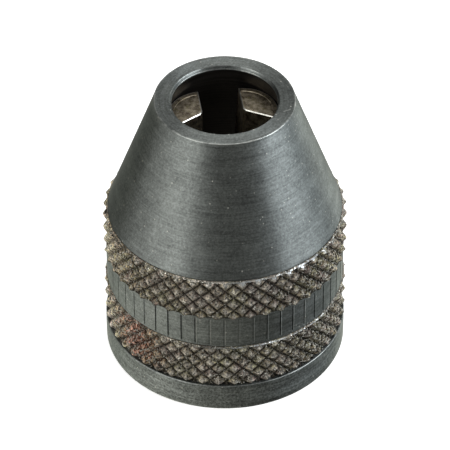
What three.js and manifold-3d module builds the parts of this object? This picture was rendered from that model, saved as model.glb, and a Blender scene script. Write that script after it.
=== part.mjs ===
// Three-jaw drill chuck for a hobby rotary tool, with a capacity of 0.3 to 3.2 mm.
//
// The knurled nose sleeve has a tapered bore. Three wedge jaws sit in it, pushed apart by coil springs
// between their flanks. A bush with an M8 x 0.75 thread closes the rear. Screwed onto a spindle, the
// chuck draws the jaws against the spindle's end, so that they slide up the taper and close on the shank.
//
// Millimetres. +Z runs along the axis, from the rear face at z = 0 to the nose. The jaws are drawn open.
import * as THREE from "three";
import { mergeVertices } from "three/addons/utils/BufferGeometryUtils.js";
import Module from "manifold-3d";

const wasm = await Module();
wasm.setup();

// ---------------------------------------------------------------- driving dimensions
const LENGTH = 20.8; // rear face to nose face
const GRIP_RADIUS = 8.5; // over the crests of the knurl
const BAND_RADIUS = 8.28; // plain band between the two knurled bands
const FLANGE_RADIUS = 8.42; // flange of the rear bush
const NOSE_RADIUS = 4.85; // outer edge of the nose face
const SHOULDER_RADIUS = 8.0; // foot of the outer cone
const MOUTH_RADIUS = 3.6; // land in the nose where the shank goes in
const CAVITY_RADIUS = 6.6; // straight bore behind the taper

const FLANGE_TOP = 2.15; // the heights of the steps along the axis
const LOWER_BAND_TOP = 5.75;
const UPPER_BAND_FOOT = 8.39;
const SHOULDER_TOP = 11.65;
const TAPER_TOP = 20.35;
const BUSH_TOP = 5.0;

const KNURLS = 46; // diamonds round the sleeve
const KNURL_DEPTH = 0.38;
const KNURL_ROWS = 5; // half diamonds up each band

const TAPER = THREE.MathUtils.degToRad(18); // half angle of the sleeve's bore and of the jaws
const OPEN_RADIUS = 1.7; // tip of a jaw from the axis, fully open
const SHUT_RADIUS = 0.15; // the same, shut on the smallest drill
const JAW_FRONT = 19.15; // front of the open jaws
const JAW_REAR = 5.25; // their rear, just above the bush
const JAW_AZIMUTHS = { jaw_1: 30, jaw_2: 150, jaw_3: 270 };

const THREAD_MINOR_RADIUS = 3.6; // M8 x 0.75, drawn as a plain bore at its minor diameter
const THREAD_MAJOR_RADIUS = 4.0;

const SPRING_RADIUS = 0.55; // over the wire
const SPRING_WIRE = 0.2;
const SPRING_TURNS = 6;
const POCKET_RADIUS = 0.7;
const POCKET_DEPTH = 1.5; // blind hole in a jaw's flank that seats one end of a spring
// How far behind the jaws' front the springs lie, and how far from the axis when the jaws are shut.
const SPRING_ROWS = {
  front: { behind: 5.0, radius: 2.4 },
  rear: { behind: 10.6, radius: 3.3 },
};

const SLIDE_GAP = 0.04; // between a jaw and the taper
const SEAT_GAP = 0.05; // between flat faces that meet
const FIT_GAP = 0.03; // round the bush in the sleeve
const FLANK_RELIEF = 0.05; // taken off each flank, so that shut jaws don't quite meet

const GUNMETAL = { color: 0x3c4243, roughness: 0.42, metalness: 0.85 };
const HARD_STEEL = { color: 0x8d8578, roughness: 0.35, metalness: 0.9 };
const SPRING_STEEL = { color: 0xb8b9b6, roughness: 0.3, metalness: 1 };

// ---------------------------------------------------------------- sizes that follow
const SLOPE = Math.tan(TAPER);
const CLOSING = OPEN_RADIUS - SHUT_RADIUS; // how far each jaw moves in
const RISE = CLOSING / SLOPE; // how far it moves towards the nose meanwhile
const CAVITY_TOP = TAPER_TOP - (CAVITY_RADIUS - MOUTH_RADIUS) / SLOPE;
const HALF_PITCH = (Math.PI * GRIP_RADIUS) / KNURLS; // the diamonds are as tall as they are wide
const HALF_SECTOR = Math.PI / 3; // a jaw fills a third of the circle

// ---------------------------------------------------------------- helpers
const steel = (finish) => new THREE.MeshStandardMaterial(finish);

const points = (pairs) => pairs.map(([x, y]) => new THREE.Vector2(x, y));

// Turns a profile of [radius, height] pairs about +Z. A ring's profile ends where it starts.
function turned(profile, columns) {
  return new THREE.LatheGeometry(points(profile), columns).rotateX(Math.PI / 2);
}

function toSolid(geometry) {
  const bare = geometry.clone();
  bare.deleteAttribute("normal");
  bare.deleteAttribute("uv");
  const merged = mergeVertices(bare, 1e-4);
  const mesh = new wasm.Mesh({
    numProp: 3,
    vertProperties: merged.attributes.position.array,
    triVerts: new Uint32Array(merged.index.array),
  });
  return new wasm.Manifold(mesh);
}

function toGeometry(solid) {
  const mesh = solid.getMesh();
  const geometry = new THREE.BufferGeometry();
  geometry.setAttribute("position", new THREE.BufferAttribute(mesh.vertProperties, 3));
  geometry.setIndex(new THREE.BufferAttribute(mesh.triVerts, 1));
  geometry.computeVertexNormals();
  return geometry;
}

function named(name, geometry, finish) {
  const mesh = new THREE.Mesh(geometry, steel(finish));
  mesh.name = name;
  return mesh;
}

// ---------------------------------------------------------------- nose sleeve
// The heights of a knurled band's rows, half a diamond apart, centred between two heights.
function knurlHeights(foot, top) {
  const first = (foot + top - KNURL_ROWS * HALF_PITCH) / 2;
  return Array.from({ length: KNURL_ROWS + 1 }, (_, row) => first + row * HALF_PITCH);
}

// Presses diamonds into the rows at the given heights. Crest and root alternate along a row and from
// row to row, and each square is split along the groove that joins its two roots.
function knurled(lathe, rows, columns, heights) {
  const position = lathe.attributes.position;
  const radiusAt = (column, row) => {
    const vertex = column * rows + row;
    return Math.hypot(position.getX(vertex), position.getY(vertex));
  };
  const isRoot = (column, row) => (column + row) % 2 === 0;
  for (let column = 0; column <= columns; column++) {
    for (let row = 0; row < rows; row++) {
      const vertex = column * rows + row;
      const pressed = heights.some((z) => Math.abs(z - position.getZ(vertex)) < 1e-4);
      if (!pressed || !isRoot(column, row)) continue;
      const scale = 1 - KNURL_DEPTH / GRIP_RADIUS;
      position.setX(vertex, position.getX(vertex) * scale);
      position.setY(vertex, position.getY(vertex) * scale);
    }
  }
  const index = [];
  for (let column = 0; column < columns; column++) {
    for (let row = 0; row < rows - 1; row++) {
      const a = column * rows + row;
      const [b, c, d] = [a + rows, a + rows + 1, a + 1];
      const alongAC = radiusAt(column, row) + radiusAt(column + 1, row + 1);
      const alongBD = radiusAt(column + 1, row) + radiusAt(column, row + 1);
      index.push(...(alongAC < alongBD ? [a, b, c, a, c, d] : [a, b, d, b, c, d]));
    }
  }
  lathe.setIndex(index);
  return lathe;
}

function noseSleeve() {
  const columns = 2 * KNURLS;
  const foot = FLANGE_TOP + SEAT_GAP;
  const chamfer = 0.3;
  const edge = 0.1;
  const lower = knurlHeights(foot, LOWER_BAND_TOP);
  const upper = knurlHeights(UPPER_BAND_FOOT, SHOULDER_TOP);
  const crests = (heights) => heights.map((z) => [GRIP_RADIUS, z]);
  const profile = [
    [CAVITY_RADIUS, foot],
    [GRIP_RADIUS - chamfer, foot],
    ...crests(lower),
    [BAND_RADIUS, LOWER_BAND_TOP],
    [BAND_RADIUS, UPPER_BAND_FOOT],
    ...crests(upper),
    [GRIP_RADIUS - chamfer, SHOULDER_TOP],
    [SHOULDER_RADIUS, SHOULDER_TOP],
    [NOSE_RADIUS, LENGTH - edge],
    [NOSE_RADIUS - edge, LENGTH],
    [MOUTH_RADIUS + 1.5 * edge, LENGTH],
    [MOUTH_RADIUS, LENGTH - 1.5 * edge],
    [MOUTH_RADIUS, TAPER_TOP],
    [CAVITY_RADIUS, CAVITY_TOP],
    [CAVITY_RADIUS, foot],
  ];
  const lathe = turned(profile, columns);
  return named("nose_sleeve", knurled(lathe, profile.length, columns, [...lower, ...upper]), GUNMETAL);
}

// ---------------------------------------------------------------- rear bush
function rearBush() {
  const columns = 56;
  const edge = 0.12;
  const plug = CAVITY_RADIUS - FIT_GAP;
  const lead = 0.5; // countersink at each end of the thread
  const profile = [
    [THREAD_MAJOR_RADIUS + edge, 0],
    [FLANGE_RADIUS - edge, 0],
    [FLANGE_RADIUS, edge],
    [FLANGE_RADIUS, FLANGE_TOP - edge],
    [FLANGE_RADIUS - edge, FLANGE_TOP],
    [plug, FLANGE_TOP],
    [plug, BUSH_TOP - 2 * edge],
    [plug - 2 * edge, BUSH_TOP],
    [THREAD_MAJOR_RADIUS, BUSH_TOP],
    [THREAD_MINOR_RADIUS, BUSH_TOP - lead],
    [THREAD_MINOR_RADIUS, lead],
    [THREAD_MAJOR_RADIUS + edge, 0],
  ];
  return named("rear_bush", turned(profile, columns), GUNMETAL);
}

// ---------------------------------------------------------------- jaws
// A jaw is modelled shut, about the axis, with its middle along +X, and then moved out to where it opens.
// Its back is part of the cone that fits the taper when the jaws are shut.
function jawBack() {
  const columns = 54;
  const front = JAW_FRONT + RISE;
  const rear = JAW_REAR + RISE;
  const radiusAt = (z) => MOUTH_RADIUS + (TAPER_TOP - z) * SLOPE - SLIDE_GAP;
  const straight = CAVITY_RADIUS - SLIDE_GAP - CLOSING;
  const straightTop = TAPER_TOP - (straight + SLIDE_GAP - MOUTH_RADIUS) / SLOPE;
  const nick = 0.15; // chamfer round the front face
  const rearNick = 0.3;
  return turned(
    [
      [0, rear],
      [straight - rearNick, rear],
      [straight, rear + rearNick],
      [straight, straightTop],
      [radiusAt(front - nick), front - nick],
      [radiusAt(front - nick) - nick, front],
      [0, front],
    ],
    columns,
  );
}

// The wedge between a jaw's two flanks, with a narrow land at its tip that grips the shank.
function jawWedge() {
  const reach = 2 * CAVITY_RADIUS;
  const start = FLANK_RELIEF / Math.sin(HALF_SECTOR);
  const halfWidth = (radius) => (radius - start) * Math.tan(HALF_SECTOR);
  const outline = points([
    [SHUT_RADIUS, -halfWidth(SHUT_RADIUS)],
    [reach, -halfWidth(reach)],
    [reach, halfWidth(reach)],
    [SHUT_RADIUS, halfWidth(SHUT_RADIUS)],
  ]);
  const depth = 2 * LENGTH;
  return new THREE.ExtrudeGeometry(new THREE.Shape(outline), { depth, bevelEnabled: false });
}

// A spring's pocket in one flank: side is +1 or -1.
function pocket({ behind, radius }, side) {
  const overshoot = 1; // the drill starts outside the flank
  const drill = new THREE.CylinderGeometry(POCKET_RADIUS, POCKET_RADIUS, POCKET_DEPTH + overshoot, 16);
  const centre = (POCKET_DEPTH + FLANK_RELIEF - overshoot) / 2;
  return drill
    .translate(radius, -side * centre, JAW_FRONT + RISE - behind)
    .rotateZ(side * HALF_SECTOR);
}

function jawSolid() {
  let solid = toSolid(jawBack()).intersect(toSolid(jawWedge()));
  for (const row of Object.values(SPRING_ROWS)) {
    for (const side of [-1, 1]) solid = solid.subtract(toSolid(pocket(row, side)));
  }
  return toGeometry(solid);
}

function jaw(name, azimuth, geometry) {
  const mesh = named(name, geometry, HARD_STEEL);
  mesh.position.set(CLOSING, 0, -RISE);
  const turn = new THREE.Group();
  turn.rotation.z = THREE.MathUtils.degToRad(azimuth);
  turn.add(mesh);
  return turn;
}

// ---------------------------------------------------------------- springs
class Helix extends THREE.Curve {
  constructor(radius, length, turns) {
    super();
    Object.assign(this, { radius, length, turns });
  }

  getPoint(t) {
    const angle = t * this.turns * 2 * Math.PI;
    return new THREE.Vector3(
      this.radius * Math.cos(angle),
      (t - 0.5) * this.length,
      this.radius * Math.sin(angle),
    );
  }
}

// A spring lies across the gap between two jaws, along Y, and reaches to the bottom of both pockets.
function springGeometry() {
  const gap = 2 * (CLOSING * Math.sin(HALF_SECTOR) + FLANK_RELIEF);
  const length = gap + 2 * POCKET_DEPTH - 2 * SEAT_GAP - SPRING_WIRE;
  const half = SPRING_WIRE / 2;
  const wire = new THREE.Shape(points([[half, 0], [0, half], [-half, 0], [0, -half]]));
  const path = new Helix(SPRING_RADIUS - half, length, SPRING_TURNS);
  const steps = 9 * SPRING_TURNS;
  return new THREE.ExtrudeGeometry(wire, { steps, extrudePath: path, bevelEnabled: false });
}

function spring(name, azimuth, { behind, radius }, geometry) {
  const mesh = named(name, geometry, SPRING_STEEL);
  mesh.position.set(radius + CLOSING * Math.cos(HALF_SECTOR), 0, JAW_FRONT - behind);
  const turn = new THREE.Group();
  turn.rotation.z = THREE.MathUtils.degToRad(azimuth);
  turn.add(mesh);
  return turn;
}

// ---------------------------------------------------------------- assembly
const chuck = new THREE.Group();
chuck.add(noseSleeve(), rearBush());

const jawGeometry = jawSolid();
const coil = springGeometry();
for (const [name, azimuth] of Object.entries(JAW_AZIMUTHS)) {
  chuck.add(jaw(name, azimuth, jawGeometry));
  const number = name.slice(-1);
  for (const [row, place] of Object.entries(SPRING_ROWS)) {
    // Each spring lies between its own jaw and the next.
    chuck.add(spring(`jaw_spring_${row}_${number}`, azimuth + 60, place, coil));
  }
}

export default chuck;
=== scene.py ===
"""A mini keyless drill chuck: a blued, knurled nose sleeve, three spring-loaded jaws and a threaded bush.

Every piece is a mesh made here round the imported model's own sizes. Lengths below are in millimetres unless
a name says otherwise, and are turned into metres when a mesh is made.
"""
import math

import bpy
import numpy as np
from mathutils import Matrix, Vector


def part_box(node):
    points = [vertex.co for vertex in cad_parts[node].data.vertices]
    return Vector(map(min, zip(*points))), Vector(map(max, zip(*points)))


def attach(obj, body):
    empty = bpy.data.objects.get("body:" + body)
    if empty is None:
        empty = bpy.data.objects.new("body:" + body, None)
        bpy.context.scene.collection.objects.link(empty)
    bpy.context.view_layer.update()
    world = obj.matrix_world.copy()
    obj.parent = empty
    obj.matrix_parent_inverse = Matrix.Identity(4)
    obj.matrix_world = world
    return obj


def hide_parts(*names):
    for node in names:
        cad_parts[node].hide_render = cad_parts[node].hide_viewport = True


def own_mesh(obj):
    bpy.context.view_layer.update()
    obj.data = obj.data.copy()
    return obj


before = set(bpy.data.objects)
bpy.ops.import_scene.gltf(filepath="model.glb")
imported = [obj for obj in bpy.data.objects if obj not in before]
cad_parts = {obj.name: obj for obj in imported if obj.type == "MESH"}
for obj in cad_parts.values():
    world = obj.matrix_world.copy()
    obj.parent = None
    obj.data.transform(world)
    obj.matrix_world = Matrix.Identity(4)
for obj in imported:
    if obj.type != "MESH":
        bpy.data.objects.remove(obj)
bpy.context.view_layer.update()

MM = 0.001

# ---------------------------------------------------------------- sizes
sleeve_low, sleeve_high = (np.array(corner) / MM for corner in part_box("nose_sleeve"))
bush_high = np.array(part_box("rear_bush")[1]) / MM

LENGTH = sleeve_high[2]
GRIP_RADIUS = sleeve_high[0]
SLEEVE_FOOT = sleeve_low[2]
FLANGE_RADIUS = bush_high[0]
BUSH_TOP = bush_high[2]
FLANGE_TOP = 2.15
BAND_RADIUS = 8.28
NOSE_RADIUS = 4.82
NOSE_EDGE = 0.07  # radius of the nose's rounded outer edge
SHOULDER_RADIUS = 8.1
MOUTH_RADIUS = 3.6
CAVITY_RADIUS = 6.6
LOWER_BAND_TOP = 5.75
UPPER_BAND_FOOT = 8.39
SHOULDER_TOP = 11.65
UPPER_BAND_TOP = SHOULDER_TOP - 0.06
TAPER_TOP = 20.35

KNURLS = 46
KNURL_DEPTH = 0.38
KNURL_STEPS = 5  # grid steps to half a diamond
KNURL_GRIT = 0.008  # how unevenly the teeth are pressed
LOWER_TIP = (0.6, 5.37)  # one tooth's tip on each band: degrees to the right of the camera, and height
UPPER_TIP = (0.2, 11.27)
RIM_HEIGHT = 0.12  # smooth part of the chamfer at the top of each knurled band
HALF_PITCH = math.pi * GRIP_RADIUS / KNURLS
SLITS = 52
SLIT_WIDTH = 0.1
SLIT_DEPTH = 0.1
SLIT_BURR = 0.012  # raised along one side of each slit
FIRST_SLIT = -0.5  # degrees to the right of the camera
DEEP_SLITS = ((-35, -14, 1.2), (50, 75, 1.3))  # from and to, in the same degrees, and share of SLIT_DEPTH
PAINTED_BURR_GLINTS = (-14, 42)  # from and to: between these the burrs are painted bright, a painted highlight
TURNED_LINE = 0.012  # depth of the tool marks near the top of the rear ring
TURNED_PITCH = 0.09
RUST_AT = (-48, 4.2)  # the rusty patch: degrees to the right of the camera, and height
# a short scratch on the nose face, seen from the camera: SCRATCH_AHEAD - SCRATCH_LEAN * across in front of
# the axis, with its middle at across = SCRATCH_MIDDLE to the right of it
SCRATCH_AHEAD = 3.25
SCRATCH_LEAN = 0.49
SCRATCH_MIDDLE = 4.2

SLOPE = math.tan(math.radians(18))
OPEN_RADIUS = 1.7
SHUT_RADIUS = 0.15
CLOSING = OPEN_RADIUS - SHUT_RADIUS
RISE = CLOSING / SLOPE
JAW_FRONT = 19.15
JAW_REAR = 5.25
FLANK_RELIEF = 0.05
SLIDE_GAP = 0.04
HALF_SECTOR = math.pi / 3
JAW_AZIMUTHS = {1: 30, 2: 150, 3: 270}

THREAD_MINOR = 3.6
THREAD_MAJOR = 4.0
THREAD_PITCH = 0.75

SPRING_RADIUS = 0.55
SPRING_WIRE = 0.2
SPRING_TURNS = 6
POCKET_RADIUS = 0.7
POCKET_DEPTH = 1.5
SEAT_GAP = 0.05
SPRING_ROWS = {"front": (5.0, 2.4), "rear": (10.6, 3.3)}  # how far behind the jaws' front, and shut radius

# The camera's place round the chuck. Angles "to the right of the camera" below are measured from it.
CAMERA_AZIMUTH = -7.7
CAMERA_ELEVATION = 40.66
CAMERA_DISTANCE_M = 0.24256
CAMERA_TARGET_M = 0.00964
CAMERA_LENS = 279.1
CAMERA_ROLL = -0.15
CAMERA_SHIFT = 0.0003
FACING = CAMERA_AZIMUTH - 90  # the direction from the axis to the camera, in degrees from +X
FRONT_X, FRONT_Y = math.cos(math.radians(FACING)), math.sin(math.radians(FACING))

rng = np.random.default_rng(46)


# ---------------------------------------------------------------- mesh making
class Shell:
    """Rings of vertices round +Z, each joined to the one before. Rings may have different counts."""

    def __init__(self):
        self.points = []
        self.faces = []
        self.materials = []
        self.depth = []
        self.wear = []
        self.rings = []

    def ring(self, radius, z, angles, material=0, depth=0.0, wear=0.0):
        """Adds a ring. The faces that join it to the one before take its material."""
        count = len(angles)
        start = len(self.points)
        radii = np.broadcast_to(radius, count)
        self.points += zip(radii * np.cos(angles), radii * np.sin(angles), np.broadcast_to(z, count))
        self.depth += list(np.broadcast_to(depth, count))
        self.wear += list(np.broadcast_to(wear, count))
        self.rings.append((start, count, radii, np.asarray(angles)))
        if len(self.rings) > 1:
            self.join(self.rings[-2], self.rings[-1], material)

    def join(self, below, above, material):
        before = len(self.faces)
        if below[1] == above[1]:
            self.join_level(below, above)
        else:
            self.join_zip(below, above)
        self.materials += [material] * (len(self.faces) - before)

    def join_level(self, below, above):
        """Triangles between two rings of one count, split along the lower of the two diagonals."""
        (start, count, r0, _), (top, _, r1, _) = below, above
        for i in range(count):
            j = (i + 1) % count
            a, b, c, d = start + i, start + j, top + j, top + i
            if np.ptp(r0) < 1e-9 and np.ptp(r1) < 1e-9:
                self.faces.append((a, b, c, d))
            elif r0[i] + r1[j] < r0[j] + r1[i]:
                self.faces += [(a, b, c), (a, c, d)]
            else:
                self.faces += [(a, b, d), (b, c, d)]

    def join_zip(self, below, above):
        """Triangles between two rings of different counts, taking the nearer next vertex each time."""
        (start, count, _, angles), (top, top_count, _, top_angles) = below, above
        turn = 2 * math.pi
        offset = int(np.argmin(np.abs((top_angles - angles[0] + math.pi) % turn - math.pi)))
        lower = np.unwrap(np.append(angles, angles[0] + turn))
        upper = np.unwrap(np.roll(top_angles, -offset))
        upper = np.append(upper, upper[0] + turn)
        upper += turn * round((lower[0] - upper[0]) / turn)
        i = j = 0
        while i < count or j < top_count:
            a, d = start + i % count, top + (j + offset) % top_count
            if j == top_count or (i < count and lower[i + 1] < upper[j + 1]):
                self.faces.append((a, start + (i + 1) % count, d))
                i += 1
            else:
                self.faces.append((a, top + (j + 1 + offset) % top_count, d))
                j += 1

    def close(self, material=0):
        """Joins the last ring to the first, for a piece with a hole through it."""
        self.join(self.rings[-1], self.rings[0], material)


def make_object(name, points, faces, materials, face_materials=None, attributes=None, sharp=32):
    """A mesh object from millimetres. Edges that turn by more than sharp degrees are left hard."""
    mesh = bpy.data.meshes.new(name)
    mesh.from_pydata((np.array(points, float) * MM).tolist(), [], faces)
    for material in materials:
        mesh.materials.append(material)
    if face_materials is not None:
        mesh.polygons.foreach_set("material_index", face_materials)
    for key, values in (attributes or {}).items():
        mesh.attributes.new(key, "FLOAT", "POINT").data.foreach_set("value", np.array(values, np.float32))
    mesh.validate()
    mesh.shade_smooth()
    mesh.set_sharp_from_angle(angle=math.radians(sharp))
    piece = bpy.data.objects.new(name, mesh)
    bpy.context.scene.collection.objects.link(piece)
    return piece


def full_circle(count, phase=0.0):
    return phase + np.arange(count) * 2 * math.pi / count


def right_of_camera(angles):
    """Angles in radians from +X, as degrees to the right of the camera, from -180 to 180."""
    return (np.degrees(angles) - FACING + 180) % 360 - 180


def apply_modifiers(piece):
    bpy.context.view_layer.update()
    evaluated = piece.evaluated_get(bpy.context.evaluated_depsgraph_get())
    mesh = bpy.data.meshes.new_from_object(evaluated)
    piece.modifiers.clear()
    piece.data = mesh


# ---------------------------------------------------------------- materials
class Graph:
    """A material whose nodes are added by short calls."""

    def __init__(self, name):
        self.material = bpy.data.materials.new(name)
        self.material.use_nodes = True
        self.tree = self.material.node_tree
        self.shader = self.tree.nodes["Principled BSDF"]

    def add(self, kind, settings=None, **inputs):
        """A new node. i0=, i1= and so on set its inputs by number; other names set them by name."""
        node = self.tree.nodes.new(kind)
        for key, value in (settings or {}).items():
            setattr(node, key, value)
        for key, value in inputs.items():
            socket = int(key[1:]) if key[1:].isdigit() else key.replace("_", " ")
            self.put(node.inputs[socket], value)
        return node

    def put(self, socket, value):
        if isinstance(value, bpy.types.NodeSocket):
            self.tree.links.new(value, socket)
        else:
            socket.default_value = value

    def math(self, operation, *values):
        sockets = {f"i{n}": value for n, value in enumerate(values)}
        return self.add("ShaderNodeMath", {"operation": operation}, **sockets).outputs[0]

    def product(self, first, *others):
        for value in others:
            first = self.math("MULTIPLY", first, value)
        return first

    def scaled(self, vector, factor):
        return self.add("ShaderNodeVectorMath", {"operation": "SCALE"}, i0=vector, Scale=factor).outputs[0]

    def span(self, value, low, high, to_low=0.0, to_high=1.0):
        """value from low..high to to_low..to_high, held at both ends."""
        node = self.add("ShaderNodeMapRange", i0=value, i1=low, i2=high, i3=to_low, i4=to_high)
        return node.outputs[0]

    def mix(self, factor, first, second):
        node = self.add("ShaderNodeMix", {"data_type": "RGBA"}, i0=factor, i6=first, i7=second)
        return node.outputs[2]

    def noise(self, vector, scale, detail=3.0, roughness=0.55):
        node = self.add("ShaderNodeTexNoise", Vector=vector, Scale=scale, Detail=detail, Roughness=roughness)
        return node.outputs["Fac"]

    def attribute(self, name):
        return self.add("ShaderNodeAttribute", {"attribute_name": name}).outputs["Fac"]

    def where(self):
        """The point on the piece in millimetres, as a vector and as X, Y and Z."""
        point = self.scaled(self.add("ShaderNodeTexCoord").outputs["Object"], 1 / MM)
        x, y, z = self.add("ShaderNodeSeparateXYZ", i0=point).outputs
        return point, x, y, z

    def from_axis(self, x, y):
        return self.math("SQRT", self.math("ADD", self.math("MULTIPLY", x, x), self.math("MULTIPLY", y, y)))

    def from_camera(self, x, y):
        """How far the point is in front of the axis, and to the right of it, as the camera sees it."""
        ahead = self.math("ADD", self.math("MULTIPLY", x, FRONT_X), self.math("MULTIPLY", y, FRONT_Y))
        across = self.math("SUBTRACT", self.math("MULTIPLY", y, FRONT_X), self.math("MULTIPLY", x, FRONT_Y))
        return ahead, across

    def drawn_out(self, x, y, travel, around, along):
        """A place for noise that makes fine rings: it changes slowly round the axis, fast with travel."""
        x, y = self.math("MULTIPLY", x, around), self.math("MULTIPLY", y, around)
        travel = self.math("MULTIPLY", travel, along)
        return self.add("ShaderNodeCombineXYZ", i0=x, i1=y, i2=travel).outputs[0]

    def bump(self, height, distance_mm, strength):
        node = self.add("ShaderNodeBump", Strength=strength, Distance=distance_mm * MM, Height=height)
        return node.outputs[0]

    def finish(self, **inputs):
        """Sets the shader's sockets, and gives the material."""
        for key, value in inputs.items():
            self.put(self.shader.inputs[key.replace("_", " ")], value)
        return self.material


def rgb(red, green, blue):
    return (red, green, blue, 1.0)


def turned_steel(name, stretch, streaks):
    """Steel off the lathe, blued: fine rings round the axis, brighter where an edge is worn bare.

    stretch is how far its sheen is drawn out across the rings, and streaks how strongly its tone varies.
    """
    g = Graph(name)
    point, x, y, z = g.where()
    travel = g.math("SUBTRACT", z, g.from_axis(x, y))
    rings = g.drawn_out(x, y, travel, 0.3, 7.0)
    fine = g.noise(rings, 1.0, 4.0, 0.7)
    coarse = g.noise(rings, 0.3, 2.0)
    patches = g.noise(point, 0.7, 5.0, 0.7)
    grain = g.noise(point, 6.5, 4.0, 0.8)
    tone = g.math("ADD", g.math("MULTIPLY", fine, 0.35), g.math("MULTIPLY", patches, 0.55))
    tone = g.math("ADD", tone, g.math("MULTIPLY", grain, 0.6))
    dark, light = rgb(0.14, 0.15, 0.148), rgb(0.28, 0.30, 0.295)
    colour = g.mix(g.span(tone, 0.58, 0.92), dark, light)
    stroke = g.math("ADD", g.math("MULTIPLY", fine, 0.35), g.math("MULTIPLY", grain, 0.65))
    colour = g.scaled(colour, g.span(stroke, 0.4, 0.6, 1 - streaks, 1 + streaks))
    # bare metal on the edges, in broken patches
    ragged = g.math("ADD", g.attribute("wear"), g.span(g.noise(point, 1.3, 5.0), 0.3, 0.7, -0.6, 0.25))
    nicks = g.span(g.noise(point, 4.5, 2.0), 0.38, 0.5, 0.35, 1.0)
    worn = g.math("MULTIPLY", g.span(ragged, 0.5, 1.1), nicks)
    # a short scratch on the nose face, at the right of the front
    ahead, across = g.from_camera(x, y)
    off_middle = g.math("ABSOLUTE", g.math("SUBTRACT", across, SCRATCH_MIDDLE))
    off_line = g.math("ADD", ahead, g.math("MULTIPLY", across, SCRATCH_LEAN))
    off_line = g.math("ABSOLUTE", g.math("SUBTRACT", off_line, SCRATCH_AHEAD))
    scratch = g.product(
        g.span(off_line, 0.025, 0.065, 1.0, 0.0), g.span(off_middle, 0.2, 0.28, 1.0, 0.0),
        g.span(z, LENGTH - 0.1, LENGTH - 0.05),
    )
    worn = g.math("MAXIMUM", worn, scratch)
    bare = rgb(0.62, 0.64, 0.62)
    colour = g.mix(g.math("MULTIPLY", worn, 0.7), colour, bare)
    # a sprinkling of pale dust
    cells = g.add("ShaderNodeTexVoronoi", Vector=point, Scale=2.6)
    near = g.span(cells.outputs["Distance"], 0.06, 0.14, 1.0, 0.0)
    present = g.span(g.noise(point, 2.1, 1.0), 0.5, 0.56)
    dust = g.math("MULTIPLY", near, present)
    colour = g.mix(dust, colour, rgb(0.62, 0.61, 0.55))
    rough = g.math("ADD", g.span(fine, 0.25, 0.8, 0.35, 0.47), g.span(coarse, 0.3, 0.7, -0.03, 0.04))
    relief = g.math("ADD", g.math("MULTIPLY", fine, 0.7), g.math("MULTIPLY", coarse, 0.5))
    tangent = g.add("ShaderNodeTangent", {"direction_type": "RADIAL", "axis": "Z"}).outputs[0]
    return g.finish(
        Base_Color=colour, Metallic=g.span(dust, 0, 1, 1.0, 0.2), Roughness=rough,
        Specular_Tint=rgb(0.45, 0.47, 0.47), Anisotropic=stretch, Anisotropic_Rotation=0.25,
        Tangent=tangent, Normal=g.bump(relief, 0.012, 0.25),
    )


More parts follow.
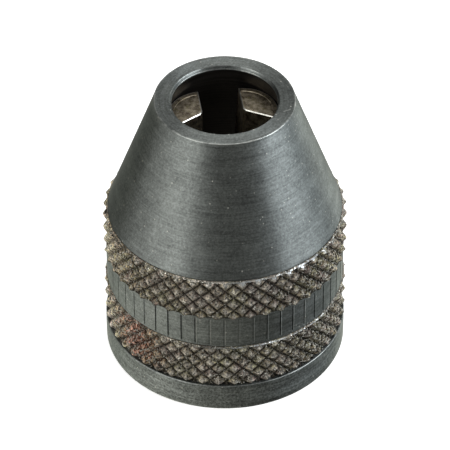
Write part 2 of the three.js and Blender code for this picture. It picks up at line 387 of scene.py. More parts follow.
def knurl_steel(name):
    """The knurl: dark facets, oily brown dust in the grooves, a rusty patch, and smooth chamfers.

    Much of what goes by facing and across below is light and shade painted into the colour, to suit the
    camera's view of the chuck. It is fixed to the chuck, so it stays put when the camera moves.
    """
    g = Graph(name)
    point, x, y, z = g.where()
    ahead, across = g.from_camera(x, y)
    radius = g.from_axis(x, y)
    # facing is 1 straight in front; across is -1 at the far left and 1 at the far right
    facing = g.math("DIVIDE", ahead, radius)
    across = g.math("DIVIDE", across, radius)
    depth = g.attribute("depth")
    broad = g.noise(point, 0.4, 3.0)
    mottle = g.noise(point, 3.6, 5.0, 0.7)
    grit = g.span(g.noise(point, 6.5, 4.0, 0.8), 0.42, 0.58)
    hue = g.noise(point, 0.8, 2.0)
    scuffs = g.math("ADD", g.math("MULTIPLY", mottle, 0.7), g.math("MULTIPLY", grit, 0.15))
    steel = g.mix(g.span(scuffs, 0.33, 0.52), rgb(0.11, 0.10, 0.088), rgb(0.50, 0.465, 0.42))
    pale = g.mix(g.span(hue, 0.35, 0.5), rgb(0.25, 0.18, 0.155), rgb(0.26, 0.21, 0.135))
    pale = g.mix(g.span(hue, 0.5, 0.65), pale, rgb(0.27, 0.25, 0.15))
    dust = g.mix(grit, rgb(0.012, 0.008, 0.005), pale)
    # a rusty patch low on the left of the front
    centre = math.radians(FACING + RUST_AT[0])
    at = Vector((GRIP_RADIUS * math.cos(centre), GRIP_RADIUS * math.sin(centre), RUST_AT[1]))
    away = g.add("ShaderNodeVectorMath", {"operation": "DISTANCE"}, i0=point, i1=at).outputs["Value"]
    ragged = g.math("ADD", away, g.span(g.noise(point, 1.1, 6.0, 0.75), 0.3, 0.7, -1.6, 1.6))
    rust = g.span(ragged, 0.9, 2.6, 1.0, 0.0)
    rusty = g.mix(grit, rgb(0.045, 0.02, 0.014), rgb(0.37, 0.185, 0.135))
    dust = g.mix(g.math("MULTIPLY", rust, 0.8), dust, rusty)
    # how much dust lies at a point: most in the grooves, in drifts, and least on the front; the extra dust
    # towards the sides is partly painted light, which makes the sides paler
    aside = g.span(facing, 0.6, 0.95, 0.2, 0.0)
    lie = g.math("ADD", g.math("MULTIPLY", depth, 0.6), g.math("MULTIPLY", broad, 0.5))
    lie = g.math("ADD", lie, g.math("MULTIPLY", g.math("SUBTRACT", grit, 0.5), 0.45))
    lie = g.math("ADD", lie, g.math("ADD", aside, g.math("MULTIPLY", rust, 0.5)))
    cover = g.span(lie, 0.4, 0.85, 0.0, 1.0)
    colour = g.mix(cover, steel, dust)
    # painted shade in the grooves, lightened at the far left by painted light
    ragged_depth = g.math("ADD", depth, g.math("MULTIPLY", g.math("SUBTRACT", grit, 0.5), 0.3))
    grooves = g.span(ragged_depth, 0.78, 0.98, 1.05, 0.1)
    grooves = g.math("MAXIMUM", grooves, g.span(across, -0.95, -0.6, 0.5, 0.0))
    # uneven from point to point, the more so at the sides, and from tooth to tooth
    uneven = g.math("MULTIPLY", g.math("SUBTRACT", grit, 0.5), g.span(facing, 0.6, 0.95, 0.7, 0.0))
    teeth = g.span(g.noise(point, 0.85, 1.0), 0.36, 0.62, 0.75, 1.25)
    # the lower band is darker on the right, and more pitted
    on_lower = g.span(z, 5.5, 6.5, 1.0, 0.0)
    lower_right = g.math("MULTIPLY", on_lower, g.span(across, 0.3, 0.7))
    pitted = g.math("ADD", g.span(facing, 0.6, 0.95, 0.045, 0.0), g.math("MULTIPLY", on_lower, 0.015))
    pits = g.math("SUBTRACT", g.noise(point, 5.5, 2.0, 0.6), pitted)
    # painted light and shade on the teeth: lighter on their tips and darker between, most of all at the
    # sides
    tooth_light_and_shade = g.math("SUBTRACT", g.span(depth, 0.0, 0.7, 1.4, 0.65), 1.0)
    tooth_light_and_shade = g.math("MULTIPLY", tooth_light_and_shade, g.span(facing, 0.65, 0.95, 1.0, 0.25))
    # a painted shadow on the lower chamfer, in front
    wear = g.attribute("wear")
    shadow = g.product(wear, g.span(facing, 0.93, 0.98), g.span(z, 6.0, 7.0, 0.75, 0.0))
    # all of these together, with painted light: brighter at the sides, and more so on the left
    shade = g.product(
        grooves, g.span(grit, 0.1, 0.9, 0.66, 1.3), g.math("ADD", uneven, 1.0), teeth,
        g.span(facing, 0.2, 0.65, 1.5, 1.0), g.span(across, -0.8, 0.6, 1.65, 0.9),
        g.span(lower_right, 0.0, 1.0, 1.0, 0.7), g.span(pits, 0.33, 0.42, 0.25, 1.08),
        g.math("ADD", tooth_light_and_shade, 1.0), g.math("SUBTRACT", 1.0, shadow),
    )
    colour = g.scaled(colour, shade)
    # flecks of bare metal, mostly on the tips
    fleck = g.span(g.math("ADD", g.noise(point, 7.0, 2.0, 0.6), pitted), 0.6, 0.64)
    tip = g.math("MULTIPLY", g.span(depth, 0.02, 0.24, 1.0, 0.0), g.span(mottle, 0.42, 0.6, 0.0, 0.8))
    fleck = g.math("MAXIMUM", fleck, tip)
    # the chamfers, cut after the knurl: dull with dust, but bright on the right, worn bare and with a
    # painted highlight
    bare = g.span(g.math("SUBTRACT", wear, g.span(mottle, 0.38, 0.6, 0.0, 0.95)), 0.1, 0.5)
    side_wear_and_highlight = g.math("MULTIPLY", g.span(across, -0.2, 0.6), g.span(across, 0.7, 0.92, 1.0, 0.1))
    rim = g.mix(side_wear_and_highlight, rgb(0.10, 0.095, 0.078), rgb(0.50, 0.52, 0.54))
    colour = g.mix(bare, colour, rim)
    colour = g.mix(g.math("MULTIPLY", fleck, 0.8), colour, rgb(0.66, 0.64, 0.58))
    bright = g.math("MAXIMUM", bare, fleck)
    rough = g.math("SUBTRACT", g.span(cover, 0.1, 1.0, 0.34, 0.8), g.math("MULTIPLY", fleck, 0.35))
    metallic = g.math("MAXIMUM", g.span(cover, 0.2, 0.9, 1.0, 0.05), bright)
    relief = g.math("ADD", g.math("MULTIPLY", grit, 0.6), g.math("MULTIPLY", mottle, 0.6))
    relief = g.math("MULTIPLY", relief, g.span(bare, 0.0, 1.0, 1.0, 0.12))
    return g.finish(
        Base_Color=colour, Metallic=metallic, Roughness=rough, Specular_IOR_Level=0.2,
        Normal=g.bump(relief, 0.07, 0.8),
    )


def jaw_steel(name):
    """Ground and hardened jaws: straw-coloured, mottled, and bright where the edges are chamfered."""
    g = Graph(name)
    point, x, y, _ = g.where()
    own = g.attribute("turn")  # distance from the axis the jaw was turned about
    rings = g.drawn_out(x, y, own, 0.3, 11.0)
    fine = g.noise(rings, 1.0, 3.0, 0.6)
    mottle = g.noise(point, 2.6, 6.0, 0.75)
    colour = g.mix(g.span(mottle, 0.38, 0.62), rgb(0.115, 0.09, 0.067), rgb(0.57, 0.50, 0.385))
    colour = g.mix(g.span(g.noise(point, 3.7, 4.0), 0.55, 0.7, 0.0, 0.6), colour, rgb(0.25, 0.23, 0.10))
    bright = g.span(g.attribute("wear"), 0.4, 0.8)
    colour = g.mix(bright, colour, rgb(0.58, 0.57, 0.54))
    rough = g.span(fine, 0.3, 0.7, 0.32, 0.45)
    return g.finish(Base_Color=colour, Metallic=1.0, Roughness=rough, Normal=g.bump(fine, 0.02, 0.4))


def spring_steel(name):
    g = Graph(name)
    point = g.where()[0]
    colour = g.mix(g.span(g.noise(point, 3.0), 0.3, 0.7), rgb(0.42, 0.42, 0.40), rgb(0.72, 0.71, 0.68))
    rough = g.span(g.noise(point, 8.0), 0.3, 0.7, 0.22, 0.36)
    return g.finish(Base_Color=colour, Metallic=1.0, Roughness=rough)


def bore_steel_and_shade(name):
    """The inside, blued and oily, never polished, and coloured near black as painted shade."""
    g = Graph(name)
    _, x, y, z = g.where()
    rings = g.drawn_out(x, y, z, 0.2, 8.0)
    fine = g.noise(rings, 1.0, 3.0)
    colour = g.mix(g.span(fine, 0.3, 0.7), rgb(0.02, 0.018, 0.017), rgb(0.05, 0.045, 0.042))
    rough = g.span(fine, 0.3, 0.7, 0.4, 0.55)
    return g.finish(Base_Color=colour, Metallic=0.9, Roughness=rough, Normal=g.bump(fine, 0.02, 0.4))


# ---------------------------------------------------------------- nose sleeve
def knurl_height(angles, z, tip_angle, tip_z):
    """How deep the knurl is at each angle of a ring: 0 at a tip, 1 in a groove."""
    pitch_angle = 2 * math.pi / KNURLS
    along = (angles - tip_angle) / pitch_angle
    up = (z - tip_z) / (2 * HALF_PITCH)
    right, left = along + up, along - up
    to_right = 0.5 - np.abs(right - np.round(right))
    to_left = 0.5 - np.abs(left - np.round(left))
    height = 2 * np.minimum(to_right, to_left * 1.12)
    # no two teeth are pressed to quite the same height
    tooth = np.round(right) * 12.9898 + np.round(left) * 78.233
    lot = np.abs(np.sin(tooth) * 43758.5453) % 1.0
    return 1 - np.minimum(height, 1.0 - 0.14 * lot)


def knurled_band(shell, foot, top, tip, foot_chamfer, foot_floor, rim_radius):
    """One knurled band. Its foot's grooves reach down to foot_floor; its top is chamfered to rim_radius."""
    tip_angle, tip_z = math.radians(FACING + tip[0]), tip[1]
    columns = full_circle(2 * KNURL_STEPS * KNURLS, tip_angle)
    step = HALF_PITCH / KNURL_STEPS
    first = math.ceil((foot + 0.02 - tip_z) / step)
    last = math.floor((top - RIM_HEIGHT - 0.02 - tip_z) / step)
    root = GRIP_RADIUS - KNURL_DEPTH
    for z in [foot] + [tip_z + step * n for n in range(first, last + 1)]:
        depth = knurl_height(columns, z, tip_angle, tip_z)
        pressed = GRIP_RADIUS - KNURL_DEPTH * depth
        below = max(0.0, foot_chamfer - (z - foot))
        chamfer = rim_radius + top - z
        floor = foot_floor if z < foot + 0.1 else root
        radius = np.clip(pressed, floor, min(GRIP_RADIUS - below, chamfer))
        cut = pressed > chamfer
        grit = np.where(cut, 0.0, rng.normal(0, KNURL_GRIT, len(columns)))
        radius = np.clip(radius + grit, root - 0.01, GRIP_RADIUS)
        depth = np.where(cut, 0.3, 1.0 if below > 0.02 else depth)
        shell.ring(radius, z, columns, material=1, depth=depth, wear=np.where(cut, 1.0, 0.0))
    for drop, depth, wear in ((RIM_HEIGHT, 0.3, 1.0), (0.055, 0.4, 0.75), (0, 1.0, 0.0)):
        shell.ring(rim_radius + drop, top - drop, columns, material=1, depth=depth, wear=wear)


def slit_columns():
    """The angles of the plain band's columns, and how far each stands above the band between its ends."""
    pitch = 2 * math.pi / SLITS
    half = SLIT_WIDTH / 2 / BAND_RADIUS
    land = np.linspace(2.6 * half, pitch - 2 * half, 6)
    # across one slit, as (angle, how far the surface lies above or below the band)
    profile = [(-half, 0), (-0.6 * half, -SLIT_DEPTH), (0.6 * half, -SLIT_DEPTH), (half, SLIT_BURR)]
    profile += [(1.6 * half, SLIT_BURR / 2)] + [(angle, 0) for angle in land]
    first = math.radians(FACING + FIRST_SLIT)
    # no two slits are cut alike, and a few are deeper
    strengths = rng.uniform(0.35, 1.0, SLITS)
    angles = [first + n * pitch + angle for n in range(SLITS) for angle, _ in profile]
    bearings = right_of_camera(first + pitch * np.arange(SLITS))
    for start, end, share in DEEP_SLITS:
        strengths[(bearings > start) & (bearings < end)] = share
    rises = [rise * strength if rise < 0 else rise for strength in strengths for _, rise in profile]
    return np.array(angles), np.array(rises)


def slit_band(shell):
    """The plain band between the knurled ones."""
    angles, rise = slit_columns()
    foot, top = LOWER_BAND_TOP + 0.02, UPPER_BAND_FOOT - 0.02
    inner = GRIP_RADIUS - KNURL_DEPTH
    edge = 0.05
    margin = 0.14
    shell.ring(inner, foot, angles, material=3)
    shell.ring(BAND_RADIUS - edge, foot, angles, material=3)
    shell.ring(BAND_RADIUS, foot + edge, angles, material=3, wear=0.6)
    shell.ring(BAND_RADIUS, foot + margin, angles, material=3)
    bearings = right_of_camera(angles)
    # the burrs are worn bare, and between these bearings painted brighter still: a painted highlight
    bright = (bearings > PAINTED_BURR_GLINTS[0]) & (bearings < PAINTED_BURR_GLINTS[1])
    lip_wear_and_glint = np.where(rise > 0, np.where(bright, 2.0, 0.5), 0.0)
    shell.ring(BAND_RADIUS + rise, foot + margin + SLIT_DEPTH / 2, angles, material=3, wear=lip_wear_and_glint)
    shell.ring(BAND_RADIUS + rise, top - margin - SLIT_DEPTH / 2, angles, material=3, wear=lip_wear_and_glint)
    shell.ring(BAND_RADIUS, top - margin, angles, material=3)
    shell.ring(BAND_RADIUS, top, angles, material=3)
    shell.ring(inner, top, angles, material=3)


def nose_sleeve(turned, knurl, bore, band):
    """The outside from the foot up, the nose, the mouth, and the bore back down to the foot."""
    shell = Shell()
    inside = full_circle(128)
    smooth = full_circle(256)
    shell.ring(CAVITY_RADIUS, SLEEVE_FOOT, inside, material=2)
    shell.ring(GRIP_RADIUS - KNURL_DEPTH - 0.1, SLEEVE_FOOT, smooth)
    root = GRIP_RADIUS - KNURL_DEPTH
    knurled_band(
        shell, SLEEVE_FOOT, LOWER_BAND_TOP, LOWER_TIP,
        foot_chamfer=0.08, foot_floor=root, rim_radius=BAND_RADIUS - 0.03,
    )
    slit_band(shell)
    knurled_band(
        shell, UPPER_BAND_FOOT, UPPER_BAND_TOP, UPPER_TIP,
        foot_chamfer=0.03, foot_floor=BAND_RADIUS, rim_radius=root,
    )
    shell.ring(SHOULDER_RADIUS - 0.02, SHOULDER_TOP - 0.07, smooth)
    shell.ring(SHOULDER_RADIUS, SHOULDER_TOP - 0.02, smooth, wear=0.4)
    generator = (SHOULDER_RADIUS - NOSE_RADIUS) / (LENGTH - 0.1 - SHOULDER_TOP)
    middle = 16.0
    cone = [
        (SHOULDER_TOP + 0.05, 0.35), (SHOULDER_TOP + 0.3, 0), (middle, 0),
        (LENGTH - 0.45, 0), (LENGTH - 0.2, 0.2),
    ]
    for z, wear in cone:
        shell.ring(NOSE_RADIUS + (LENGTH - 0.1 - z) * generator, z, smooth, wear=wear)
    for turn in (0, 30, 60, 90):  # the nose's rounded outer edge
        lean = math.radians(turn)
        radius = NOSE_RADIUS - NOSE_EDGE + NOSE_EDGE * math.cos(lean)
        z = LENGTH - NOSE_EDGE + NOSE_EDGE * math.sin(lean)
        shell.ring(radius, z, smooth, wear=1.1 if turn else 0.6)
    shell.ring(NOSE_RADIUS - 0.17, LENGTH, smooth, wear=0.2)
    shell.ring(NOSE_RADIUS - 0.4, LENGTH, smooth)
    shell.ring(MOUTH_RADIUS + 0.3, LENGTH, smooth)
    # the mouth's stepped edge: how much wider than the mouth, how far down, and how worn
    mouth = [
        (0.14, 0, 0.1), (0.12, 0.015, 1.0), (0.1, 0.04, 0.1), (0.05, 0.16, 0), (0.04, 0.19, 0.2),
        (0.01, 0.22, 1.0), (0.0, 0.25, 0.1), (0.0, 0.28, 0),
    ]
    for grow, drop, wear in mouth:
        shell.ring(MOUTH_RADIUS + grow, LENGTH - drop, smooth, wear=wear)
    shell.ring(MOUTH_RADIUS, TAPER_TOP, inside, material=2)
    shell.ring(CAVITY_RADIUS, TAPER_TOP - (CAVITY_RADIUS - MOUTH_RADIUS) / SLOPE, inside, material=2)
    shell.close(material=2)
    piece = make_object(
        "sleeve", shell.points, shell.faces, [turned, knurl, bore, band], shell.materials,
        {"depth": shell.depth, "wear": shell.wear}, sharp=24,
    )
    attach(piece, "chuck_body")
    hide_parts("nose_sleeve")


# ---------------------------------------------------------------- rear bush
def rear_bush(turned, bore):
    """The plain ring at the rear, the plug above it, and the threaded bore."""
    shell = Shell()
    round_ = full_circle(192)
    edge = 0.12
    plug = CAVITY_RADIUS - 0.03
    shell.ring(THREAD_MAJOR + edge, 0, round_)
    # each ring is a radius, a height and how worn it is
    marks_foot = FLANGE_TOP - 0.85
    marks = [(FLANGE_RADIUS - TURNED_LINE * (n % 2), marks_foot + TURNED_PITCH * n, 0) for n in range(8)]
    foot = [
        (FLANGE_RADIUS - 0.5, 0, 0), (FLANGE_RADIUS - edge, 0, 0.6), (FLANGE_RADIUS - 0.03, 0.05, 0.8),
        (FLANGE_RADIUS, edge, 0.6), (FLANGE_RADIUS, 0.4, 0),
    ]
    # the bright worn ring at the top edge is edge wear and partly a painted edge highlight
    head = [
        (FLANGE_RADIUS, FLANGE_TOP - 0.06, 0), (FLANGE_RADIUS - 0.012, FLANGE_TOP - 0.025, 1.2),
        (FLANGE_RADIUS - 0.05, FLANGE_TOP, 0.2), (FLANGE_RADIUS - 0.3, FLANGE_TOP, 0),
        (plug, FLANGE_TOP, 0), (plug, BUSH_TOP - 2 * edge, 0), (plug - 2 * edge, BUSH_TOP, 0.3),
    ]
    for radius, z, wear in foot + marks + head:
        shell.ring(radius, z, round_, wear=wear)
    # the thread: a 60 degree groove that winds up the bore, with a countersink at each end
    rows = np.linspace(BUSH_TOP, 0, 121)
    lead = THREAD_MAJOR + edge
    for z in rows[:-1]:
        phase = (z / THREAD_PITCH - round_ / (2 * math.pi)) % 1.0
        groove = np.clip(1.25 - np.abs(phase - 0.5) * 3.2, 0, 1)
        radius = THREAD_MINOR + (THREAD_MAJOR - THREAD_MINOR) * groove
        sunk = lead - min(z, BUSH_TOP - z)
        shell.ring(np.maximum(radius, sunk), z, round_, material=1)
    shell.close(material=1)
    piece = make_object(
        "bush", shell.points, shell.faces, [turned, bore], shell.materials, {"wear": shell.wear},
    )
    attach(piece, "chuck_body")
    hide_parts("rear_bush")


# ---------------------------------------------------------------- jaws
def jaw_section(radius, inset):
    """The outline of a shut jaw, its middle along +X: flank, back and flank, then the land at its tip."""
    relief = FLANK_RELIEF + inset
    out = np.array([math.cos(HALF_SECTOR), math.sin(HALF_SECTOR)])
    aside = np.array([math.sin(HALF_SECTOR), -math.cos(HALF_SECTOR)])
    reach = math.sqrt(radius**2 - relief**2)
    near = (SHUT_RADIUS + inset - relief * aside[0]) / out[0]
    upper = [out * s + aside * relief for s in np.linspace(reach, near, 9)]
    corner = math.atan2(upper[0][1], upper[0][0])
    back = [radius * np.array([math.cos(t), math.sin(t)]) for t in np.linspace(-corner, corner, 33)[1:-1]]
    lower = [point * (1, -1) for point in reversed(upper)]
    return np.array(lower + back + upper)


def jaw_mesh():
    """Points, faces and attributes of a shut jaw."""
    front, rear = JAW_FRONT + RISE, JAW_REAR + RISE

    def back_at(z):
        return MOUTH_RADIUS + (TAPER_TOP - z) * SLOPE - SLIDE_GAP

    straight = CAVITY_RADIUS - SLIDE_GAP - CLOSING
    straight_top = TAPER_TOP - (straight + SLIDE_GAP - MOUTH_RADIUS) / SLOPE
    nick, foot_nick = 0.06, 0.25
    # up the jaw: height, radius of the back, how far the flanks draw in, and how worn
    levels = [
        (rear, straight - foot_nick, foot_nick / 2, 0),
        (rear + foot_nick, straight, 0, 0.3),
        (straight_top, straight, 0, 0),
        (front - 0.5, back_at(front - 0.5), 0, 0),
        (front - nick - 0.03, back_at(front - nick - 0.03), 0, 0),
        (front - nick, back_at(front - nick), 0, 1),
        (front, back_at(front - nick) - nick, nick, 1),
        (front, back_at(front) - nick - 0.04, nick + 0.03, 0),
        (front, back_at(front) - 0.32, nick + 0.1, 0),
        (front - 0.02, back_at(front) - 0.36, nick + 0.12, 0),
    ]
    points, wear, faces = [], [], []
    for z, radius, inset, shine in levels:
        outline = jaw_section(radius, inset)
        points += [(x, y, z) for x, y in outline]
        wear += [shine] * len(outline)
    count = len(outline)
    shrunk = np.array(points[-count:])
    middle = shrunk.mean(axis=0)
    for share in (0.75, 0.5, 0.25):
        points += [tuple(p) for p in middle + (shrunk - middle) * share]
        wear += [0] * count
    loops = len(points) // count
    for loop in range(loops - 1):
        for i in range(count):
            j = (i + 1) % count
            low, high = loop * count, (loop + 1) * count
            faces.append((low + i, low + j, high + j, high + i))
    points.append(tuple(middle))
    wear.append(0)
    last = (loops - 1) * count
    tip = len(points) - 1
    faces += [(last + i, last + (i + 1) % count, tip) for i in range(count)]
    faces.append(tuple(range(count))[::-1])
    turn = [math.hypot(x, y) for x, y, _ in points]
    return points, faces, {"wear": wear, "turn": turn}


def pocket_drills():
    """One object that holds the four cylinders cut from a shut jaw's flanks."""
    points, faces = [], []
    sides = 28
    for behind, radius in SPRING_ROWS.values():
        for side in (-1, 1):
            turn = Matrix.Rotation(side * HALF_SECTOR, 3, "Z")
            start = len(points)
            height = JAW_FRONT + RISE - behind
            for depth in (-1.0, POCKET_DEPTH + FLANK_RELIEF):
                for angle in full_circle(sides):
                    out, up = POCKET_RADIUS * math.cos(angle), POCKET_RADIUS * math.sin(angle)
                    points.append(tuple(turn @ Vector((radius + out, -side * depth, height + up))))
            caps = [list(range(start, start + sides)), list(range(start + sides, start + 2 * sides))]
            walls = [
                [start + i, start + (i + 1) % sides, start + sides + (i + 1) % sides, start + sides + i]
                for i in range(sides)
            ]
            group = walls + [caps[0][::-1], caps[1]]
            faces += [face if side == 1 else face[::-1] for face in group]
    return make_object("drills", points, faces, [])


def jaws(material):
    """One jaw is made shut and drilled, then copied three times, each moved open."""
    points, faces, attributes = jaw_mesh()
    pattern = make_object("jaw_pattern", points, faces, [material], attributes=attributes)
    drills = pocket_drills()
    cut = pattern.modifiers.new("pockets", "BOOLEAN")
    cut.operation, cut.solver, cut.object = "DIFFERENCE", "EXACT", drills
    apply_modifiers(pattern)
    for number, azimuth in JAW_AZIMUTHS.items():
        mesh = pattern.data.copy()
        open_out = Matrix.Translation((CLOSING * MM, 0, -RISE * MM))
        mesh.transform(Matrix.Rotation(math.radians(azimuth), 4, "Z") @ open_out)
        mesh.set_sharp_from_angle(angle=math.radians(25))
        piece = bpy.data.objects.new(f"wedge_jaw_{number}", mesh)
        bpy.context.scene.collection.objects.link(piece)
        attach(piece, f"jaw_{number}")
        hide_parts(f"jaw_{number}")
    bpy.data.objects.remove(pattern)
    bpy.data.objects.remove(drills)


# ---------------------------------------------------------------- springs
def spring_points(length):
    """Centres of the wire, about the origin and along Y, with close end turns."""
    steps = 26 * SPRING_TURNS
    share = np.linspace(0, 1, steps + 1)
    angle = share * SPRING_TURNS * 2 * math.pi
    closed = 1.0 / SPRING_TURNS
    eased = np.interp(share, [0, closed, 1 - closed, 1], [0, SPRING_WIRE, length - SPRING_WIRE, length])
    radius = SPRING_RADIUS - SPRING_WIRE / 2
    return np.stack([radius * np.cos(angle), eased - length / 2, radius * np.sin(angle)], -1)


def wire_mesh(path, wire_radius, sides=10):
    points, faces = [], []
    tangents = np.gradient(path, axis=0)
    for centre, tangent in zip(path, tangents):
        tangent = tangent / np.linalg.norm(tangent)
        outward = np.array([centre[0], 0, centre[2]])
        outward = outward / np.linalg.norm(outward)
        across = np.cross(tangent, outward)
        for angle in full_circle(sides):
            points.append(centre + wire_radius * (outward * math.cos(angle) + across * math.sin(angle)))
    for i in range(len(path) - 1):
        for k in range(sides):
            a, b = i * sides + k, i * sides + (k + 1) % sides
            faces.append((a, a + sides, b + sides, b))
    faces.append(tuple(range(sides)))
    end = (len(path) - 1) * sides
    faces.append(tuple(end + k for k in range(sides))[::-1])
    return points, faces


def springs(material):
    open_gap = 2 * (CLOSING * math.sin(HALF_SECTOR) + FLANK_RELIEF)
    seat = 2 * POCKET_DEPTH - 2 * SEAT_GAP
    length = open_gap + seat - SPRING_WIRE
    points, faces = wire_mesh(spring_points(length), SPRING_WIRE / 2)
    for number, azimuth in JAW_AZIMUTHS.items():
        turn = math.radians(azimuth + 60)
        for row, (behind, radius) in SPRING_ROWS.items():
            out = radius + CLOSING * math.cos(HALF_SECTOR)
            centre = Vector((out * math.cos(turn), out * math.sin(turn), JAW_FRONT - behind))
            piece = make_object(f"coil_{row}_{number}", points, faces, [material], sharp=60)
            place = Matrix.Translation(centre * MM) @ Matrix.Rotation(turn, 4, "Z")
            piece.data.transform(place)
            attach(piece, f"jaw_springs_{number}")
            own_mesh(piece)
            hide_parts(f"jaw_spring_{row}_{number}")


# ---------------------------------------------------------------- camera, light and floor
def camera():
    azimuth, elevation = math.radians(CAMERA_AZIMUTH), math.radians(CAMERA_ELEVATION)
    target = Vector((0, 0, CAMERA_TARGET_M))
    level = math.cos(elevation)
    away = Vector((math.sin(azimuth) * level, -math.cos(azimuth) * level, math.sin(elevation)))
    data = bpy.data.cameras.new("camera")
    data.sensor_width = 36
    data.lens = CAMERA_LENS
    data.shift_x = CAMERA_SHIFT
    data.clip_start = 0.01
    item = bpy.data.objects.new("camera", data)
    roll = Matrix.Rotation(math.radians(CAMERA_ROLL), 3, "Z").to_quaternion()
    item.rotation_mode = "QUATERNION"
    item.rotation_quaternion = away.to_track_quat("Z", "Y") @ roll
    item.location = target + away * CAMERA_DISTANCE_M
    bpy.context.scene.collection.objects.link(item)
    bpy.context.scene.camera = item


def softbox(name, bearing, elevation, distance_m, width_m, height_m, watts, colour):
    """A rectangular light that faces the chuck, bearing degrees to the right of the camera."""
    turn, lift = math.radians(FACING + bearing), math.radians(elevation)
    away = Vector((math.cos(turn) * math.cos(lift), math.sin(turn) * math.cos(lift), math.sin(lift)))
    data = bpy.data.lights.new(name, "AREA")
    data.shape, data.size, data.size_y = "RECTANGLE", width_m, height_m
    data.energy, data.color = watts, colour
    item = bpy.data.objects.new(name, data)
    item.location = away * distance_m + Vector((0, 0, 0.01))
    item.rotation_mode = "QUATERNION"
    item.rotation_quaternion = away.to_track_quat("Z", "Y")
    bpy.context.scene.collection.objects.link(item)


# The room as blued steel shows it: how bright it is at each angle to the right of the camera, at four
# heights.
ROOM_BELOW = (
    (-180, 1.20), (-150, 1.70), (-130, 1.45), (-110, 1.25), (-90, 1.08), (-70, 1.00), (-50, 0.74),
    (-30, 0.52), (-10, 0.46), (10, 0.34), (30, 0.20), (60, 0.12), (100, 0.15), (118, 0.36), (130, 0.85),
    (150, 2.1), (180, 1.20),
)
ROOM_LEVEL = (
    (-180, 1.20), (-165, 0.20), (-150, 0.0), (-125, 0.0), (-111, 0.05), (-98, 0.60), (-80, 0.90),
    (-64, 0.98), (-43, 0.88), (-27, 0.42), (-12, 0.13), (25, 0.08), (46, 0.12), (58, 0.54), (76, 0.73),
    (90, 0.96), (111, 1.0), (136, 2.30), (155, 0.50), (180, 1.20),
)
ROOM_ABOVE = (
    (-180, 0.60), (-150, 0.25), (-120, 0.15), (-80, 0.35), (-50, 0.60), (0, 0.20), (50, 0.60), (80, 0.35),
    (120, 0.22), (150, 0.30), (180, 0.60),
)
ROOM_TOP = ((-180, 2.40), (-90, 1.20), (-40, 0.15), (0, 0.10), (40, 0.15), (90, 1.20), (180, 2.40))
WARM, COOL, OLIVE = (1.0, 1.0, 0.96), (0.91, 0.985, 1.02), (1.03, 1.01, 0.87)


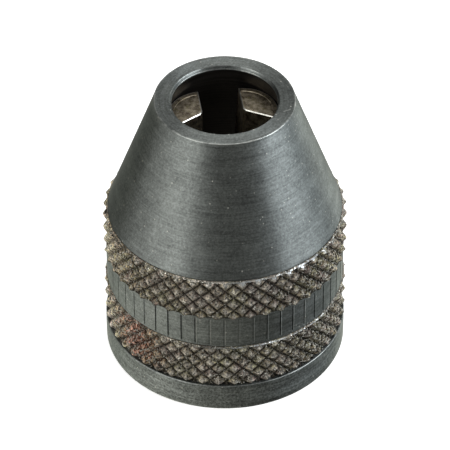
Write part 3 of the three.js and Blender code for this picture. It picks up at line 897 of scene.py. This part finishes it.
def studio():
    """A room that is pale at the sides and darker before the chuck, with two softboxes."""
    world = bpy.data.worlds.new("studio")
    bpy.context.scene.world = world
    world.use_nodes = True
    tree = world.node_tree
    add = tree.nodes.new
    link = tree.links.new
    turn = add("ShaderNodeVectorRotate")
    turn.rotation_type = "Z_AXIS"
    turn.inputs["Angle"].default_value = -math.radians(FACING)
    link(add("ShaderNodeTexCoord").outputs["Generated"], turn.inputs["Vector"])
    split = add("ShaderNodeSeparateXYZ")
    link(turn.outputs[0], split.inputs[0])
    around = add("ShaderNodeMath")
    around.operation = "ARCTAN2"
    link(split.outputs[1], around.inputs[0])
    link(split.outputs[0], around.inputs[1])
    place = add("ShaderNodeMapRange")
    link(around.outputs[0], place.inputs[0])
    place.inputs[1].default_value, place.inputs[2].default_value = -math.pi, math.pi

    def ring(brightness, left=WARM, right=WARM):
        ramp = add("ShaderNodeValToRGB")
        link(place.outputs[0], ramp.inputs[0])
        stops = ramp.color_ramp.elements
        while len(stops) < len(brightness):
            stops.new(0.5)
        for stop, (degrees, value) in zip(stops, brightness):
            stop.position = (degrees + 180) / 360
            tint = right if 30 < degrees < 120 else left
            stop.color = rgb(*(value * channel for channel in tint))
        return ramp.outputs[0]

    def blended(low, high, start, end):
        """low under the height start, high over end; heights are sines of the elevation."""
        share = add("ShaderNodeMapRange")
        share.interpolation_type = "SMOOTHSTEP"
        link(split.outputs[2], share.inputs[0])
        share.inputs[1].default_value, share.inputs[2].default_value = start, end
        mixed = add("ShaderNodeMix")
        mixed.data_type = "RGBA"
        link(share.outputs[0], mixed.inputs[0])
        link(low, mixed.inputs[6])
        link(high, mixed.inputs[7])
        return mixed.outputs[2]

    lower = blended(ring(ROOM_BELOW, OLIVE, OLIVE), ring(ROOM_LEVEL, WARM, COOL), -0.6, -0.25)
    background = tree.nodes["Background"]
    upper = blended(lower, ring(ROOM_ABOVE), 0.2, 0.45)
    link(blended(upper, ring(ROOM_TOP), 0.82, 0.95), background.inputs["Color"])
    # the camera sees plain white in place of the room
    plain = add("ShaderNodeBackground")
    plain.inputs["Color"].default_value = rgb(1, 1, 1)
    chosen = add("ShaderNodeMixShader")
    link(add("ShaderNodeLightPath").outputs["Is Camera Ray"], chosen.inputs[0])
    link(background.outputs[0], chosen.inputs[1])
    link(plain.outputs[0], chosen.inputs[2])
    link(chosen.outputs[0], tree.nodes["World Output"].inputs["Surface"])
    softbox("key", 80, 34, 0.6, 0.42, 0.26, 2.7, (0.93, 0.97, 1.0))
    softbox("fill", -56, 36, 0.6, 0.36, 0.26, 1.1, (1, 1, 0.95))


def floor():
    half, drop = 1.5 / MM, -0.03
    corners = [(-half, -half, drop), (half, -half, drop), (half, half, drop), (-half, half, drop)]
    g = Graph("pale_floor")
    paper = g.finish(
        Base_Color=rgb(0.93, 0.93, 0.93), Roughness=0.9, Emission_Color=rgb(1, 1, 1), Emission_Strength=0.6,
    )
    # clear from beneath, so that the underside can be looked at
    clear = g.add("ShaderNodeBsdfTransparent")
    sided = g.add("ShaderNodeMixShader")
    g.put(sided.inputs[0], g.add("ShaderNodeNewGeometry").outputs["Backfacing"])
    g.put(sided.inputs[1], g.shader.outputs[0])
    g.put(sided.inputs[2], clear.outputs[0])
    g.put(g.tree.nodes["Material Output"].inputs["Surface"], sided.outputs[0])
    item = make_object("floor", corners, [(0, 1, 2, 3)], [paper])
    # the chuck is lit by the room alone, and reflects none of the floor
    item.visible_glossy = False
    item.visible_diffuse = False


# ---------------------------------------------------------------- the scene
bpy.context.scene.view_settings.view_transform = "Standard"
camera()
studio()
floor()

cone_steel = turned_steel("blued_cone", 0.85, 0.16)
band_steel = turned_steel("blued_band", 0.5, 0.2)
ring_steel = turned_steel("blued_ring", 0.5, 0.45)
inside = bore_steel_and_shade("blued_bore_and_shade")
nose_sleeve(cone_steel, knurl_steel("knurled_steel"), inside, band_steel)
rear_bush(ring_steel, inside)
jaws(jaw_steel("hard_steel"))
springs(spring_steel("spring_wire"))
